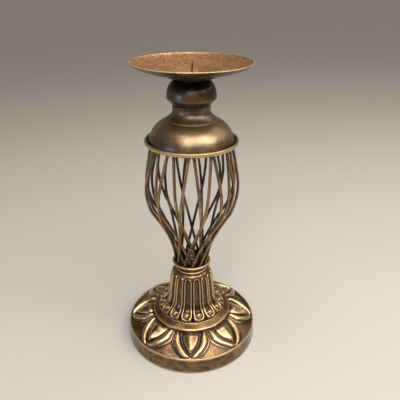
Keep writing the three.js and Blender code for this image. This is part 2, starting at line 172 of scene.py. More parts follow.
@labelled
class CupSizes(bpy.types.PropertyGroup):
    """Sizes of the collar and of the cup that gathers the wires"""

    collar_rounding: length(1.1, "Rounding of the collar's edge")
    foot_radius: length(15.6, "Radius of the cup's underside")
    floor: length(2.6, "Thickness of the cup's floor")
    lip: length(2.6, "Thickness of the cup's round lip")


@labelled
class CageSizes(bpy.types.PropertyGroup):
    """Sizes of the wire cage"""

    wire_radius: length(1.45, "Radius of a wire")
    wires: count(12, "Number of wires in each layer")
    twist: turn(60, "How far a wire turns round the axis")
    pair_spacing: length(4.4, "Between the two wires of a pair at the top")
    outer_depth: length(1.4, "From the cage's outline in to the outer wires")
    layer_spacing: length(3.1, "From the outer wires in to the inner ones")
    top_radius: length(39.7, "Over the wires, at the top")
    belly_radius: length(47.7, "Over the wires, where the cage is widest")
    foot_radius: length(17.3, "Over the wires, in the cup")
    weld_length: length(2.2, "How far the weld climbs up a wire")


@labelled
class PlateSizes(bpy.types.PropertyGroup):
    """Sizes of the saucer under the bell"""

    thickness: length(1.5, "Thickness of the sheet")
    lip_width: length(4.8, "Width of the upturned edge")
    lip_edge: length(2.3, "Thickness of the rounded top edge")


@labelled
class BellSizes(bpy.types.PropertyGroup):
    """Sizes of the bell and its neck"""

    dome_height: length(21.4, "From the edge up to the throat")
    throat_radius: length(24.4, "Radius where the dome ends")
    step_width: length(0.2, "How far the small step over the dome stands out")
    step_height: length(0.9, "Height of that step")
    neck_rise: length(1.6, "From the throat up to the foot of the neck")
    neck_radius: length(17.7, "The narrowest place of the neck")
    neck_top_radius: length(18.1, "The neck's upper edge")
    wall: length(1.5, "Thickness of the sheet")
    top_wall: length(2.6, "Thickness of the neck's closed top")


@labelled
class KnobSizes(bpy.types.PropertyGroup):
    """Sizes of the knob under the dish"""

    foot_radius: length(18.4, "The knob's underside")
    edge_height: length(5.6, "The sharp edge over the coned underside")
    top_radius: length(16.4, "The knob's upper side")
    wall: length(2.0, "Thickness of the wall")
    boss_height: length(6.5, "Thickness of the closed top")


@labelled
class DishSizes(bpy.types.PropertyGroup):
    """Sizes of the dish and its spike"""

    roll_radius: length(0.7, "Radius of the rolled edge")
    floor_radius: length(15.0, "The flat floor")
    wall: length(1.2, "Thickness of the sheet")
    spike_radius: length(1.05, "Radius of the spike at the floor")
    spike_point: length(4.5, "Length of the spike's point")
    spike_lean: turn(4, "How far the spike is bent to the right")


@labelled
class FixingSizes(bpy.types.PropertyGroup):
    """Sizes of the studs, nuts and washers inside"""

    stud_radius: length(3.0, "Radius of a stud")
    thread_pitch: length(1.0, "From one turn of the thread to the next")
    thread_length: length(13.0, "Threaded length at each end")
    across_flats: length(10.0, "Width of a nut over its flats")
    clearance: length(0.4, "Room round a stud in its holes")


@labelled
class Finishes(bpy.types.PropertyGroup):
    """Colours of the metals and of the felt"""

    # The same dark colour also paints shade wherever a piece's shade attribute darkens the metal.
    dirt: colour((0.015, 0.008, 0.005), "Dark wax left in the recesses")
    gold: colour((0.50, 0.345, 0.165), "Rubbed edges and flakes of bright brass")
    base_dark: colour((0.074, 0.031, 0.007), "Patina on the base")
    base_body: colour((0.24, 0.112, 0.024), "The base's own brass")
    bell_dark: colour((0.175, 0.104, 0.043), "Patina on the bell")
    bell_body: colour((0.32, 0.218, 0.106), "The bell's own brass")
    knob_dark: colour((0.030, 0.018, 0.010), "Patina on the knob")
    knob_body: colour((0.15, 0.098, 0.040), "The knob's own bronze")
    dish_dark: colour((0.17, 0.072, 0.027), "Patina in the dish")
    dish_body: colour((0.48, 0.25, 0.108), "The dish's copper brown")
    wire_dark: colour((0.12, 0.068, 0.026), "Patina on the wires")
    wire_body: colour((0.42, 0.255, 0.100), "The wires' own bronze")
    steel_dark: colour((0.18, 0.174, 0.168), "Dull places on studs, nuts and washers")
    steel_body: colour((0.30, 0.29, 0.28), "Studs, nuts and washers")
    steel_gold: colour((0.54, 0.522, 0.504), "Bright edges of studs, nuts and washers")
    felt: colour((0.020, 0.018, 0.017), "The felt under the base")


@labelled
class StageSettings(bpy.types.PropertyGroup):
    """The camera, the lamps and the floor"""

    photo_side: count(400, "Width and height of the photo, in pixels")
    axis_column: number(191.5, "The stand's axis in the photo, in pixels")
    focal_length: number(446.68, "The photo's focal length, in pixels")
    camera_distance: length(405.8, "From the axis to the camera")
    camera_height: length(363.1, "From the floor to the camera")
    camera_tilt: turn(26.137, "How far the camera looks down")
    floor_colour: colour((0.49, 0.465, 0.425), "The pale floor and backdrop")
    floor_radius: length(2400, "Where the floor turns up into the backdrop")
    sky_strength: number(0.16, "Brightness of the even light")


GROUPS = {
    "base": LotusBaseSizes,
    "pedestal": PedestalSizes,
    "cup": CupSizes,
    "cage": CageSizes,
    "plate": PlateSizes,
    "bell": BellSizes,
    "knob": KnobSizes,
    "dish": DishSizes,
    "fixings": FixingSizes,
    "finishes": Finishes,
    "stage": StageSettings,
}


class StandSettings(bpy.types.PropertyGroup):
    """Everything that a user may change on the stand"""

    __annotations__ = {
        name: bpy.props.PointerProperty(type=group, name=group.__doc__, description=group.__doc__)
        for name, group in GROUPS.items()
    }


# ---- Outlines ----
def bend(start, first, second, end, steps):
    """The points after start on a cubic curve to end, with first and second as its handles."""
    knots = [Vector((radius, 0.0, height)) for radius, height in (start, first, second, end)]
    return [(point.x, point.z) for point in interpolate_bezier(*knots, steps + 1)[1:]]


def curve(line, steps):
    """The points of a cubic curve. line is its start, its two handles and its end."""
    return [line[0], *bend(*line, steps)]


def arc(centre, width, height, start, end, steps):
    """Points on an arc of that half width and height, in degrees from outwards to upwards."""
    angles = [math.radians(start + (end - start) * step / steps) for step in range(steps + 1)]
    return [(centre[0] + width * math.cos(a), centre[1] + height * math.sin(a)) for a in angles]


def softened(outline, radius, closed=False, steps=4):
    """The outline with its sharp corners rounded."""
    sharp = math.radians(24)
    points = [Vector(point) for point in outline]
    rounded = []
    for index, point in enumerate(points):
        back = points[index - 1] - point
        on = points[(index + 1) % len(points)] - point
        at_end = not closed and index in (0, len(points) - 1)
        if at_end or math.pi - back.angle(on) < sharp:
            rounded.append(tuple(point))
            continue
        cut = min(radius, 0.45 * back.length, 0.45 * on.length)
        start, end = point + back.normalized() * cut, point + on.normalized() * cut
        for step in range(steps + 1):
            along = step / steps
            rounded.append(tuple(start.lerp(point, along).lerp(point.lerp(end, along), along)))
    return rounded


def stretch(start, end, steps):
    """The points after start on a straight line to end."""
    start, end = Vector(start), Vector(end)
    return [tuple(start.lerp(end, step / steps)) for step in range(1, steps + 1)]


def divided(outline, longest):
    """The outline with points added, so that no stretch of it is longer than that."""
    points = [tuple(outline[0])]
    for start, end in zip(outline, outline[1:]):
        steps = math.ceil((Vector(end) - Vector(start)).length / longest)
        points += stretch(start, end, max(1, steps))
    return points


# ---- Places on the stand ----
Places = namedtuple("Places", "radius angle height outward upward")


def ease(low, high, value):
    """0 at low and 1 at high, with an easy start and end. low may be the larger one."""
    along = np.clip((value - low) / (high - low), 0.0, 1.0)
    return along * along * (3 - 2 * along)


def from_middle(angle, sector):
    """An angle, from the middle of the sector that it lies in."""
    return (angle + sector / 2) % sector - sector / 2


def on_stand(radius, angle, height):
    """The point with that radius, angle from the front and height."""
    return Vector((radius * math.sin(angle), -radius * math.cos(angle), height))


def places_of(points, normals):
    """Where points are: their radius, angle from the front and height, and how far their normals
    point outwards and upwards."""
    radius = np.maximum(np.hypot(points[:, 0], points[:, 1]), 1e-9)
    angle = np.arctan2(points[:, 0], -points[:, 1])
    outward = (normals[:, 0] * points[:, 0] + normals[:, 1] * points[:, 1]) / radius
    return Places(radius, angle, points[:, 2], outward, normals[:, 2])


# ---- Meshes ----
def turned(outline, columns, rounding=0.0):
    """An outline with its corners rounded, spun round the axis: first one sector, then its copies.
    An outline that starts off the axis is closed."""
    joined = 1e-6
    sectors = 8
    sector = math.tau / sectors
    axis = {"cent": (0, 0, 0), "axis": (0, 0, 1)}
    closed = outline[0][0] > joined
    if rounding:
        outline = softened(outline, rounding, closed)
    bm = bmesh.new()
    points = [bm.verts.new((0.0, -radius, height)) for radius, height in outline]
    edges = [bm.edges.new(pair) for pair in zip(points, points[1:])]
    if closed:
        edges.append(bm.edges.new((points[-1], points[0])))
    bmesh.ops.spin(bm, geom=points + edges, angle=sector, steps=columns // sectors, **axis)
    first = bm.verts[:] + bm.edges[:] + bm.faces[:]
    rest = math.tau - sector
    bmesh.ops.spin(bm, geom=first, angle=rest, steps=sectors - 1, use_duplicate=True, **axis)
    bmesh.ops.remove_doubles(bm, verts=bm.verts, dist=joined)
    bmesh.ops.recalc_face_normals(bm, faces=bm.faces)
    return bm


def carve(bm, lift):
    """Moves each vertex along its normal, by what lift gives for its place."""
    bm.normal_update()
    points = np.array([vertex.co[:] for vertex in bm.verts])
    normals = np.array([vertex.normal[:] for vertex in bm.verts])
    raised = lift(places_of(points, normals))
    for vertex, point in zip(bm.verts, points + normals * raised[:, None]):
        vertex.co = point


def reshape(bm, move):
    """Sets each vertex to where move puts its radius, its angle from the front and its height."""
    for vertex in bm.verts:
        radius = math.hypot(vertex.co.x, vertex.co.y)
        angle = math.atan2(vertex.co.x, -vertex.co.y)
        vertex.co = on_stand(*move(radius, angle, vertex.co.z))


def swept_rod(path, radii, sides):
    """A round rod along a path, with a radius for each of its points."""
    bm = bmesh.new()
    places = []
    direction = Vector((0, 0, 1))
    rotation = Matrix.Identity(3)
    for index, point in enumerate(path):
        run = path[min(index + 1, len(path) - 1)] - path[max(index - 1, 0)]
        rotation = direction.rotation_difference(run).to_matrix() @ rotation
        direction = run
        scale = Matrix.Diagonal((radii[index],) * 3)
        places.append(Matrix.Translation(point) @ (rotation @ scale).to_4x4())
    bmesh.ops.create_circle(bm, segments=sides, radius=1.0, matrix=places[0])
    ring = list(bm.edges)
    bmesh.ops.contextual_create(bm, geom=ring)
    for before, after in zip(places, places[1:]):
        made = bmesh.ops.extrude_edge_only(bm, edges=ring)["geom"]
        moved = {item for item in made if isinstance(item, bmesh.types.BMVert)}
        edges = [item for item in made if isinstance(item, bmesh.types.BMEdge)]
        ring = [edge for edge in edges if moved.issuperset(edge.verts)]
        bmesh.ops.transform(bm, matrix=after @ before.inverted(), verts=list(moved))
    bmesh.ops.contextual_create(bm, geom=ring)
    bmesh.ops.recalc_face_normals(bm, faces=bm.faces)
    return bm


def relief_of(mesh, points, normals, passes, full):
    """How far each vertex stands out of its surroundings: 0.5 on an even surface, 1 where it
    stands out by the full amount and 0 where it lies as deep."""
    size = len(points)
    pairs = np.empty(len(mesh.edges) * 2, np.int64)
    mesh.edges.foreach_get("vertices", pairs)
    starts, ends = pairs.reshape(-1, 2).T
    nearness = 1 / np.maximum(np.linalg.norm(points[starts] - points[ends], axis=1), 1e-6) ** 2
    total = np.bincount(starts, nearness, size) + np.bincount(ends, nearness, size)
    settled = points.copy()
    for _ in range(passes):
        for axis in range(3):
            values = settled[:, axis].copy()
            around = np.bincount(starts, values[ends] * nearness, size)
            around += np.bincount(ends, values[starts] * nearness, size)
            settled[:, axis] = 0.5 * values + 0.5 * around / total
    return 0.5 + 0.5 * ((points - settled) * normals).sum(axis=1) / full


def add_object(name, data):
    """Puts an object in the scene, in the place of an earlier one of its name."""
    if name in bpy.data.objects:
        bpy.data.objects.remove(bpy.data.objects[name])
    made = bpy.data.objects.new(name, data)
    bpy.context.scene.collection.objects.link(made)
    return made


def smooth_mesh(name, bm, material):
    """A mesh with smooth faces of one material."""
    mesh = bpy.data.meshes.new(name)
    bm.to_mesh(mesh)
    bm.free()
    mesh.polygons.foreach_set("use_smooth", [True] * len(mesh.polygons))
    mesh.materials.append(material)
    mesh.update()
    return mesh


def add_piece(name, bm, material, node, shade=None, passes=6, full=0.12 * MM):
    """Makes a mesh one of the stand's pieces, in the place of its node. The materials read how far each
    vertex stands out, and the share of dark wax and painted shade on it, which shade gives for its
    place."""
    mesh = smooth_mesh(name, bm, material)
    points, normals = np.empty((2, len(mesh.vertices) * 3))
    mesh.vertices.foreach_get("co", points)
    mesh.vertex_normals.foreach_get("vector", normals)
    points, normals = points.reshape(-1, 3), normals.reshape(-1, 3)
    kept = {
        "relief": relief_of(mesh, points, normals, passes, full),
        "shade": shade(places_of(points, normals)) if shade else np.zeros(len(points)),
    }
    for label, values in kept.items():
        attribute = mesh.attributes.new(label, "FLOAT", "POINT")
        attribute.data.foreach_set("value", np.clip(values, 0, 1).astype(np.float32))
    piece = add_object(name, mesh)
    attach(piece, BODY)
    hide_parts(node)


# ---- Materials ----
def feed(tree, socket, value):
    """Links an input to a socket, or sets it to a value."""
    if isinstance(value, bpy.types.NodeSocket):
        tree.links.new(value, socket)
    else:
        socket.default_value = value


def add_node(tree, kind, inputs, **settings):
    """A node's outputs, after its settings are made and its inputs are fed."""
    made = tree.nodes.new(kind)
    for name, value in settings.items():
        setattr(made, name, value)
    for name, value in inputs.items():
        feed(tree, made.inputs[name], value)
    return made.outputs


def calculate(tree, operation, first, second=0.0, third=0.0):
    """The result of a Math node."""
    return add_node(tree, "ShaderNodeMath", {0: first, 1: second, 2: third}, operation=operation)[0]


def spread(tree, value, low, high):
    """0 where a value is at low and 1 where it is at high."""
    inputs = {"Value": value, "From Min": low, "From Max": high}
    return add_node(tree, "ShaderNodeMapRange", inputs, interpolation_type="SMOOTHSTEP")["Result"]


def blended(tree, factor, first, second):
    """Two colours mixed by a factor."""
    return add_node(tree, "ShaderNodeMix", {0: factor, 6: first, 7: second}, data_type="RGBA")[2]


def noise(tree, vector, size, detail=2.0, roughness=0.5):
    """Soft noise with spots of that size."""
    scale = calculate(tree, "DIVIDE", 1.0, size)
    inputs = {"Vector": vector, "Scale": scale, "Detail": detail, "Roughness": roughness}
    return add_node(tree, "ShaderNodeTexNoise", inputs)["Fac"]


def node_group(name, inputs, outputs, wire):
    """A node group, made when it is first needed. inputs gives each socket's default, and wire
    makes the nodes that feed the outputs, in their order."""
    if name in bpy.data.node_groups:
        return bpy.data.node_groups[name]
    tree = bpy.data.node_groups.new(name, "ShaderNodeTree")
    for label, default in inputs.items():
        kind = "NodeSocketVector" if default is None else "NodeSocketFloat"
        socket = tree.interface.new_socket(name=label, in_out="INPUT", socket_type=kind)
        if default is not None:
            socket.default_value = default
    for label in outputs:
        tree.interface.new_socket(name=label, in_out="OUTPUT", socket_type="NodeSocketFloat")
    given = tree.nodes.new("NodeGroupInput").outputs
    wanted = tree.nodes.new("NodeGroupOutput").inputs
    for label, value in zip(outputs, wire(tree, given)):
        tree.links.new(value, wanted[label])
    return tree


def patina_group():
    """Clouds of darker and lighter metal, and a fine grain of paint flakes."""

    def wire(tree, given):
        clouds = noise(tree, given["Vector"], given["Cloud Size"], 4.0, 0.6)
        grain = noise(tree, given["Vector"], given["Grain Size"], 3.0, 0.7)
        return spread(tree, clouds, 0.34, 0.66), spread(tree, grain, 0.36, 0.64)

    inputs = {"Vector": None, "Cloud Size": 14 * MM, "Grain Size": 0.7 * MM}
    return node_group("Patina", inputs, ["Clouds", "Grain"], wire)


def rubbed_and_shaded_group():
    """Where gold is rubbed bright on what stands out, where dark wax stays in the hollows, and where the
    Shade input lays on painted shade.
    """
    mottling = 0.12

    def wire(tree, given):
        uneven, speckled = (
            calculate(tree, "MULTIPLY_ADD", given[label], mottling, -mottling / 2)
            for label in ("Clouds", "Grain")
        )
        mottle = calculate(tree, "ADD", uneven, speckled)
        relief = calculate(tree, "ADD", given["Relief"], mottle)
        gold_end = calculate(tree, "ADD", given["Gold Start"], given["Gold Width"])
        gold = spread(tree, relief, given["Gold Start"], gold_end)
        wax_end = calculate(tree, "SUBTRACT", given["Wax Start"], given["Wax Width"])
        wax = spread(tree, relief, given["Wax Start"], wax_end)
        wax = calculate(tree, "MULTIPLY", wax, given["Wax Most"])
        # The Shade input lays painted shade on the metal in patches, on top of the wax that comes from
        # the relief.
        unevenly = calculate(tree, "MULTIPLY", given["Shade"], -3.0)
        patchy_wax_and_shade = calculate(tree, "MULTIPLY_ADD", mottle, unevenly, given["Shade"])
        unshaded = calculate(tree, "SUBTRACT", 1.0, given["Shade"])
        return calculate(tree, "MULTIPLY", gold, unshaded), calculate(tree, "MAXIMUM", wax, patchy_wax_and_shade)

    inputs = {"Relief": 0.5, "Shade": 0.0, "Clouds": 0.5, "Grain": 0.5}
    inputs |= {"Gold Start": 0.56, "Gold Width": 0.3}
    inputs |= {"Wax Start": 0.44, "Wax Width": 0.4, "Wax Most": 0.85}
    return node_group("Rubbed Relief And Painted Shade", inputs, ["Gold", "Darkening"], wire)


def skin_group():
    """The uneven skin of cast or spun metal under paint, as a height."""

    def wire(tree, given):
        lumps = noise(tree, given["Vector"], given["Lump Size"])
        pores = noise(tree, given["Vector"], given["Pore Size"])
        raised = calculate(tree, "MULTIPLY", lumps, given["Lumps"])
        return [calculate(tree, "MULTIPLY_ADD", pores, given["Pores"], raised)]

    inputs = {"Vector": None, "Lump Size": 5 * MM, "Lumps": 0.3, "Pore Size": 0.6 * MM, "Pores": 0.1}
    return node_group("Painted Skin", inputs, ["Height"], wire)


def opaque(rgb):
    """A colour with its alpha."""
    return (*rgb, 1.0)


def new_material(name, **constants):
    """An empty material, its shader with those inputs set, and where its patterns are read."""
    if name in bpy.data.materials:
        bpy.data.materials.remove(bpy.data.materials[name])
    material = bpy.data.materials.new(name)
    material.use_nodes = True
    tree = material.node_tree
    shader = tree.nodes["Principled BSDF"].inputs
    for label, value in constants.items():
        shader[label.replace("_", " ")].default_value = value
    return material, tree, shader, add_node(tree, "ShaderNodeTexCoord", {})["Object"]


def add_bump(tree, shader, height, depth):
    """Makes a height stand out of the surface by that depth."""
    bump = add_node(tree, "ShaderNodeBump", {"Height": height, "Distance": depth})
    tree.links.new(bump["Normal"], shader["Normal"])


def aged_metal(name, finishes, metal, cloud, grain=0.8, grain_share=0.35, speckles=0.0, rubbing=None,
               roughness=0.34, metallic=0.9, coat=0.45, lumps=0.3, pores=0.1):
    """Lacquered metal with a cloudy patina, rubbed bright where it stands out, dark in hollows, and
    darkened further by painted shade where the piece's shade attribute asks for it.
    The clouds and the grain are in millimetres."""
    constants = {"Metallic": metallic, "Coat_Weight": coat, "Coat_Roughness": 0.22, "Coat_IOR": 1.6}
    material, tree, shader, place = new_material(name, **constants)
    dark, body = (opaque(getattr(finishes, f"{metal}_{tone}")) for tone in ("dark", "body"))
    gold = opaque(getattr(finishes, f"{metal}_gold", finishes.gold))
    sizes = {"Vector": place, "Cloud Size": cloud * MM, "Grain Size": grain * MM}
    patina = add_node(tree, "ShaderNodeGroup", sizes, node_tree=patina_group())
    masks = {"Clouds": patina["Clouds"], "Grain": patina["Grain"], **(rubbing or {})}
    for label in ("Relief", "Shade"):
        masks[label] = add_node(tree, "ShaderNodeAttribute", {}, attribute_name=label.lower())["Fac"]
    rubbed = add_node(tree, "ShaderNodeGroup", masks, node_tree=rubbed_and_shaded_group())
    cloudy = calculate(tree, "MULTIPLY", patina["Clouds"], 1 - grain_share)
    mottled = calculate(tree, "MULTIPLY_ADD", patina["Grain"], grain_share, cloudy)
    worn = blended(tree, mottled, dark, body)
    flakes = spread(tree, calculate(tree, "MULTIPLY", patina["Clouds"], patina["Grain"]), 0.35, 0.75)
    speckled = blended(tree, calculate(tree, "MULTIPLY", flakes, speckles), worn, gold)
    bright = blended(tree, rubbed["Gold"], speckled, gold)
    # Dark wax in the hollows and painted shade from the shade attribute, both in the one dark colour.
    waxed_and_shaded = blended(tree, rubbed["Darkening"], bright, opaque(finishes.dirt))
    tree.links.new(waxed_and_shaded, shader["Base Color"])
    duller = calculate(tree, "MULTIPLY_ADD", rubbed["Darkening"], 0.12, roughness)
    tree.links.new(calculate(tree, "MULTIPLY_ADD", mottled, -0.08, duller), shader["Roughness"])
    casting = {"Vector": place, "Lumps": lumps, "Pores": pores}
    skin = add_node(tree, "ShaderNodeGroup", casting, node_tree=skin_group())
    add_bump(tree, shader, skin["Height"], 0.25 * MM)
    return material


def matted_felt(name, tint):
    """Matted wool with a short nap."""
    material, tree, shader, place = new_material(name, Roughness=0.95, Sheen_Weight=0.25)
    sizes = {"Vector": place, "Cloud Size": 6 * MM, "Grain Size": 0.35 * MM}
    grain = add_node(tree, "ShaderNodeGroup", sizes, node_tree=patina_group())["Grain"]
    lighter = [min(1.0, 2.6 * value) for value in tint]
    tree.links.new(blended(tree, grain, opaque(tint), opaque(lighter)), shader["Base Color"])
    add_bump(tree, shader, grain, 0.3 * MM)
    return material


def painted_shade_band(most, over, start, end):
    """Painted shade that grows from start to end, over one of a place's measures."""
    return lambda at: most * ease(start, end, getattr(at, over))


# ---- Lotus base ----
def petal_lift(sizes, radius, angle):
    """The height of the petals over the base's plain slope: a keeled boss in a groove, between two
    rounded ribbons that meet at the point of the petal."""
    sector = math.tau / sizes.petals
    side = np.abs(from_middle(angle - sizes.petal_turn, sector)) * radius
    out = np.maximum(radius - sizes.step_radius, 0.0)
    widest = sizes.boss_belly / sizes.boss_length
    past = np.clip((out / sizes.boss_length - widest) / (1 - widest), 0, None)
    before = np.clip(1 - out / sizes.boss_belly, 0, 1)
    pointed = 1.9
    boss_edge = sizes.boss_half_width * (1 - past**pointed) * (1 - 0.22 * before**2)
    groove = sizes.groove_width * (1 + 0.5 * before)
    inner = (sizes.boss_half_width + groove) * (1 - (past / 1.12) ** pointed)
    outer = sizes.ribbon_half_span * (1 - ((out - sizes.ribbon_belly) / sizes.ribbon_length) ** 2)
    outer = np.minimum(outer, sector / 2 * radius - 0.35 * MM)

    off_ring = ease(0, 5 * MM, out)
    keel = sizes.boss_height * ease(-0.5 * MM, 5 * MM, boss_edge) * (0.6 + 0.4 * off_ring)
    across = np.clip(side / np.maximum(boss_edge, 0.1 * MM), 0, 1)
    roof = np.sqrt(across**2 + 0.01) - 0.1
    boss = keel * (1 - 0.5 * roof - 0.32 * across**3) * ease(0, 1.8 * MM, boss_edge - side)

    lowered = 1 - 0.3 * ease(17 * MM, 25 * MM, out)
    swell = sizes.ribbon_height * (0.75 + 0.25 * off_ring) * lowered
    width = np.maximum(outer - inner, 0.5 * MM)

    def ribbon(place):
        along = (place - inner) / width
        crest = np.clip(1 - ((along - 0.38) / 0.42) ** 2, 0, 1) ** 0.6
        lip = 0.14 * ease(0.66, 0.80, along) + 0.10 * np.exp(-(((along - 0.92) / 0.06) ** 2))
        return np.maximum(crest, lip) * ease(1.05, 0.97, along) * ease(-0.03, 0.16, along)

    ribbons = swell * np.maximum(ribbon(side), ribbon(-side))
    in_groove = ease(0.6 * MM, -0.6 * MM, side - np.maximum(inner, 0)) * (inner > 0)
    beyond = side - outer
    field = ease(-0.2 * MM, 0.5 * MM, beyond) * (1 - 0.7 * ease(0.5 * MM, 3 * MM, beyond))
    return boss + ribbons - sizes.groove_depth * in_groove - 0.3 * MM * field


def lotus_base(sizes, bore):
    """The round cast base: a wall with a bead, a sloping field of petals and a stepped crown."""
    bottom, plateau, radius = extent("lotus_base")
    bead_foot = bottom + sizes.wall_height - sizes.bead_height
    half_bead = sizes.bead_width / 2
    field_top = bead_foot + sizes.field_rise
    step_top = field_top + sizes.step_height
    field_radius = sizes.rim_radius - half_bead
    hollow_radius = field_radius - sizes.skin
    felt_radius = radius - sizes.rebate_lip
    draft = 0.4 * MM
    outside = [
        (felt_radius + 0.5 * MM, bottom),
        (radius, bottom),
        *arc((sizes.rim_radius, bead_foot), half_bead, sizes.bead_height, 0, 180, 10),
        (sizes.step_radius + draft, field_top),
        (sizes.step_radius, step_top),
        (sizes.plateau_radius + draft, step_top + sizes.crown_rise),
        (sizes.plateau_radius, plateau),
        (sizes.plateau_radius - 3 * MM, plateau),
    ]
    inside = [
        (bore, plateau),
        (bore, plateau - sizes.skin),
        (sizes.plateau_radius, plateau - sizes.skin - sizes.crown_rise),
        (hollow_radius, bead_foot - sizes.skin),
        (hollow_radius, bottom + sizes.rebate_depth),
        (felt_radius, bottom + sizes.rebate_depth),
        (felt_radius, bottom),
    ]
    outside = divided(softened(outside, 1.3 * MM), 0.6 * MM)
    bm = turned(outside + divided(softened(inside, 0.7 * MM, steps=2), 6 * MM), 640)
    field_start = sizes.step_radius + draft + 0.1 * MM

    def lift(at):
        on_field = (at.radius > field_start) & (at.radius < field_radius) & (at.upward > 0.5)
        on_field &= at.height > bead_foot - sizes.ribbon_height
        to_rim = ease(field_radius, field_radius - 2.2 * MM, at.radius)
        to_ring = ease(0, 0.8 * MM, at.radius - field_start)
        return petal_lift(sizes, at.radius, at.angle) * to_rim * to_ring * on_field

    carve(bm, lift)
    return bm


def base_shade(sizes):
    """Darker on the base's side wall below the bead, and painted shade on the crown where it meets the
    pedestal.
    """
    rim = extent("lotus_base").low + sizes.wall_height

    def shade(at):
        wall = 0.25 * ease(rim - 0.8 * MM, rim - 2.5 * MM, at.height)
        # Painted shade on the crown, where it meets the pedestal's foot.
        crown = 0.30 * ease(sizes.step_radius - 3 * MM, sizes.plateau_radius + 1 * MM, at.radius)
        return wall + crown * (at.height > rim) * (at.radius > sizes.plateau_radius + 0.4 * MM)

    return shade


# ---- Pedestal ----
def pedestal_outline(sizes):
    """The pedestal's outside from its foot to its top, the heights of its points, and how far
    along it they are."""
    bottom, top, foot_radius = extent("fluted_pedestal")
    lip = (foot_radius, sizes.foot_lip)
    ankle = (sizes.ankle_radius, sizes.ankle_height)
    off_lip = (foot_radius - 4.6 * MM, sizes.foot_lip + 3.4 * MM)
    to_ankle = (sizes.ankle_radius + 0.9 * MM, sizes.ankle_height * 0.52)
    off_ankle = (sizes.ankle_radius - 0.9 * MM, sizes.ankle_height + 10 * MM)
    to_top = (sizes.ankle_radius - 1.6 * MM, top - bottom - 0.6 * MM)
    spreading = bend(lip, off_lip, to_ankle, ankle, 34)
    column = bend(ankle, off_ankle, to_top, (sizes.top_radius, top - bottom), 48)
    outline = divided([(foot_radius, 0.0), lip, *spreading, *column], 0.5 * MM)
    steps = np.hypot(*np.diff(outline, axis=0).T)
    return outline, np.array(outline)[:, 1], np.concatenate([[0], np.cumsum(steps)])


def flute_place(sizes, radius, angle):
    """How far a point is from the middle of its flute, and from there to the flute's ridge."""
    sector = math.tau / sizes.flutes
    side = np.abs(from_middle(angle - sizes.flute_turn, sector)) * radius
    return side, sizes.ridge_share * sector / 2 * radius


def fluted_pedestal(sizes, bore):
    """The fluted column. Each flute has a raised edge that turns round a ball at its foot."""
    bottom, top, _ = extent("fluted_pedestal")
    height = top - bottom
    outside, levels, runs = pedestal_outline(sizes)
    ceiling = height - sizes.top_wall
    inside = [
        (bore, height),
        (bore, ceiling),
        (sizes.top_radius - sizes.wall / 3, ceiling),
        (sizes.ankle_radius - sizes.wall, sizes.ankle_height),
        (sizes.ankle_radius, 0.0),
    ]
    bm = turned(outside + divided(softened(inside, 0.6 * MM), 3 * MM), 480)
    arch_run = np.interp(height - sizes.arch_drop, levels, runs)
    inset = sizes.ball_inset

    def lift(at):
        run = np.interp(at.height, levels, runs)
        side, ridge = flute_place(sizes, at.radius, at.angle)
        at_foot = ease(inset + 9 * MM, inset, run)
        ridge = ridge * (1 + 0.08 * at_foot)
        past_end = np.maximum(np.maximum(inset - run, run - arch_run + ridge), 0)
        across = np.hypot(side, past_end) / ridge
        valley = sizes.valley_depth * ease(arch_run + 2 * MM, arch_run - 4 * MM, run)
        crest = sizes.ridge_height * (1 + at_foot) * ease(height, height - sizes.arch_drop, at.height)
        flute = -sizes.flute_depth + (sizes.flute_depth + crest) * ease(0.55, 0.95, across)
        beyond = crest - (crest + valley) * ease(1.08, 1 / sizes.ridge_share, across)
        carved = np.where(across < 1.05, flute, beyond)
        from_ball = np.hypot(side, run - inset) / sizes.ball_radius
        carved += sizes.ball_height * np.sqrt(np.clip(1 - from_ball**2, 0, 1))
        outside_only = (at.outward > 0.02) * (at.height > 0.3 * MM)
        return carved * outside_only * ease(0, 1.5 * MM, height - at.height)

    def scallop(radius, angle, level):
        run = np.interp(level, levels, runs)
        side, ridge = flute_place(sizes, radius, angle)
        notch = sizes.notch_depth * ease(1.1, 1 / sizes.ridge_share, side / ridge)
        notch *= ease(inset + 8 * MM, inset - 2 * MM, run)
        return radius - notch * (radius > sizes.ankle_radius + 2 * MM), angle, level

    carve(bm, lift)
    reshape(bm, scallop)
    bmesh.ops.translate(bm, verts=bm.verts, vec=(0, 0, bottom))
    return bm


def pedestal_shade(sizes):
    """Dark wax in the flutes, but not on the balls."""
    bottom = extent("fluted_pedestal").low
    _, levels, runs = pedestal_outline(sizes)

    def shade(at):
        run = np.interp(at.height - bottom, levels, runs)
        side, ridge = flute_place(sizes, at.radius, at.angle)
        from_ball = np.hypot(side, run - sizes.ball_inset) / sizes.ball_radius
        return 0.5 * ease(0.8 * ridge, 0.4 * ridge, side) * ease(0.8, 1.1, from_ball)

    return shade


# ---- Collar and cup ----
def pedestal_collar(sizes, bore):
    """The thin ring between the pedestal and the cup."""
    low, high, radius = extent("pedestal_collar")
    inset = sizes.collar_rounding
    edge = arc((radius - inset, (low + high) / 2), inset, (high - low) / 2, -90, 90, 12)
    return turned([(bore, low), *edge, (bore, high)], 128, 0.3 * MM)


def cage_cup(sizes, bore):
    """The small cup with a round lip, where the wires end."""
    low, high, radius = extent("cage_cup")
    half_lip = sizes.lip / 2
    lip_radius, lip_height = radius - half_lip, high - half_lip
    foot = (sizes.foot_radius, low)
    off_foot = (sizes.foot_radius + 1.4 * MM, low + 0.2 * (high - low))
    to_lip = (radius - 2.6 * MM, lip_height - 1.9 * MM)
    under_lip = (lip_radius + 0.6 * half_lip, lip_height - 0.8 * half_lip)
    outline = [
        (bore, low),
        *curve([foot, off_foot, to_lip, under_lip], 10),
        *arc((lip_radius, lip_height), half_lip, half_lip, -50, 190, 20),
        (lip_radius - half_lip, low + sizes.floor),
        (bore, low + sizes.floor),
    ]
    return turned(outline, 144, 0.5 * MM)


